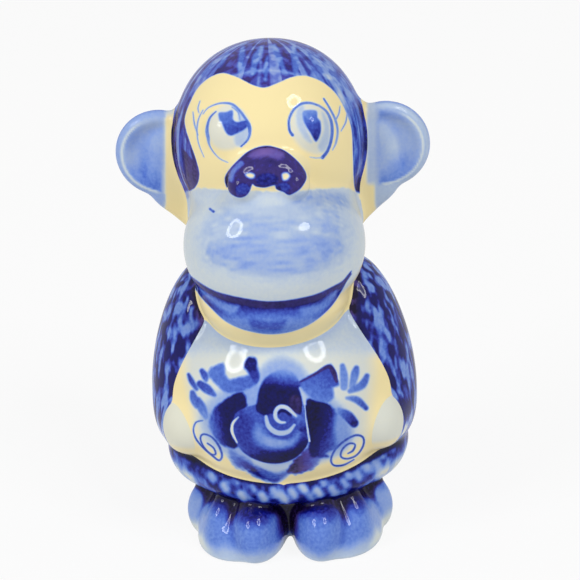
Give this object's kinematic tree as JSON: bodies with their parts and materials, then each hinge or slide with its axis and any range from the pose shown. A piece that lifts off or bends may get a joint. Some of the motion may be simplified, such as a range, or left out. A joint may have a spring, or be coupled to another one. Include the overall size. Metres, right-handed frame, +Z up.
{
  "type": "monkey figurine",
  "caption": "Glazed porcelain figurine of a monkey standing with its hands on a round belly, hollow cast, for display on a flat surface.",
  "frame": {"origin": "centre of the bounding box on the ground plane", "axes": "+Z up, the face looks along -Y, +X to the figure's own left"},
  "size_m": [0.067, 0.0513, 0.11],
  "materials": {
    "belly_porcelain": "clear glaze over white porcelain with a pale wash, a cream ground and a painted blue rose",
    "face_porcelain": "clear glaze over a cream face and dark blue brushed hair",
    "pale_porcelain": "clear glaze over a thin blue wash on white porcelain",
    "lip_porcelain": "clear glaze over a dark blue lip and a cream chin",
    "cobalt_porcelain": "clear glaze over dabbed dark blue underglaze colour"
  },
  "bodies": {
    "root": {"torso": "belly_porcelain", "head": "face_porcelain", "muzzle": "pale_porcelain", "lower_jaw": "lip_porcelain", "nose": "cobalt_porcelain", "left_ear": "pale_porcelain", "right_ear": "pale_porcelain", "left_arm": "cobalt_porcelain", "right_arm": "cobalt_porcelain", "left_hand": "pale_porcelain", "right_hand": "pale_porcelain", "left_leg": "cobalt_porcelain", "right_leg": "cobalt_porcelain", "left_foot": "cobalt_porcelain", "right_foot": "cobalt_porcelain"}
  },
  "joints": []
}
